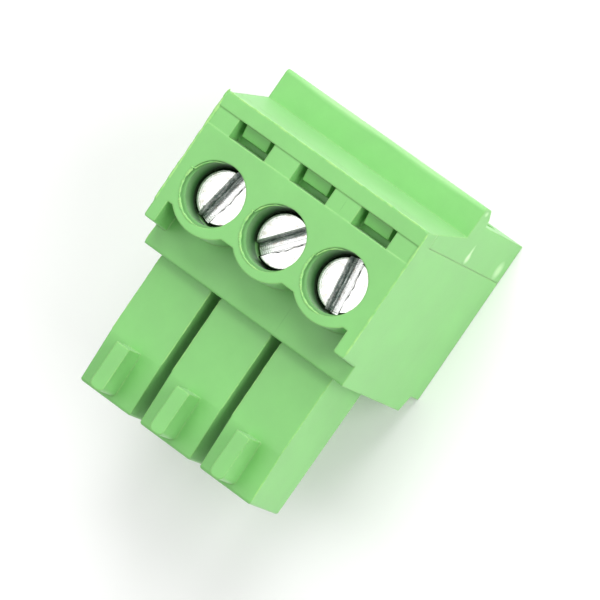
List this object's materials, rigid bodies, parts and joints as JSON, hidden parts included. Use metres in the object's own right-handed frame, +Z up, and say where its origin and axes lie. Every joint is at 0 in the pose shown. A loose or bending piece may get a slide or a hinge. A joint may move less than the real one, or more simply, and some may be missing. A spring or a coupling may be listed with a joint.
{
  "type": "pluggable terminal block",
  "caption": "Pluggable screw terminal plug: wires enter at the rear and are clamped by screw-driven cages; fingers with coding ribs slide into a pin header.",
  "frame": {"origin": "on the flat bottom face, under the middle screw's axis", "axes": "+X across the poles, +Y towards the wire entries at the rear, -Y towards the plug fingers, +Z up to the screw face"},
  "size_m": [0.0126, 0.0177, 0.0111],
  "materials": {
    "housing_plastic": "moulded polyamide, satin, light green",
    "cover_plastic": "moulded polyamide, satin, light green",
    "screw_metal": "zinc-plated steel, turned and slotted, scratched",
    "cage_metal": "nickel-plated brass",
    "contact_metal": "tin-plated bronze"
  },
  "bodies": {
    "housing": {"housing": "housing_plastic", "rear_cover": "cover_plastic", "contact_1": "contact_metal", "contact_2": "contact_metal", "contact_3": "contact_metal"},
    "screw_1": {"screw_1": "screw_metal"},
    "cage_1": {"clamp_cage_1": "cage_metal"},
    "screw_2": {"screw_2": "screw_metal"},
    "cage_2": {"clamp_cage_2": "cage_metal"},
    "screw_3": {"screw_3": "screw_metal"},
    "cage_3": {"clamp_cage_3": "cage_metal"}
  },
  "joints": [
    {"name": "cage_lift_1", "type": "slide", "parent": "housing", "child": "cage_1", "axis": [0, 0, 1], "range_m": [0, 0.0016]},
    {"name": "screw_turn_1", "type": "hinge", "parent": "housing", "child": "screw_1", "pos_m": [-0.00381, 0, 0.0087], "axis": [0, 0, -1], "range_deg": [0, 1440]},
    {"name": "cage_lift_2", "type": "slide", "parent": "housing", "child": "cage_2", "axis": [0, 0, 1], "range_m": [0, 0.0016]},
    {"name": "screw_turn_2", "type": "hinge", "parent": "housing", "child": "screw_2", "pos_m": [0, 0, 0.0087], "axis": [0, 0, -1], "range_deg": [0, 1440]},
    {"name": "cage_lift_3", "type": "slide", "parent": "housing", "child": "cage_3", "axis": [0, 0, 1], "range_m": [0, 0.0016]},
    {"name": "screw_turn_3", "type": "hinge", "parent": "housing", "child": "screw_3", "pos_m": [0.00381, 0, 0.0087], "axis": [0, 0, -1], "range_deg": [0, 1440]}
  ],
  "couplings": [
    {"joint": "screw_turn_1", "follows": "cage_lift_1", "rad_per_m": 15708},
    {"joint": "screw_turn_2", "follows": "cage_lift_2", "rad_per_m": 15708},
    {"joint": "screw_turn_3", "follows": "cage_lift_3", "rad_per_m": 15708}
  ]
}
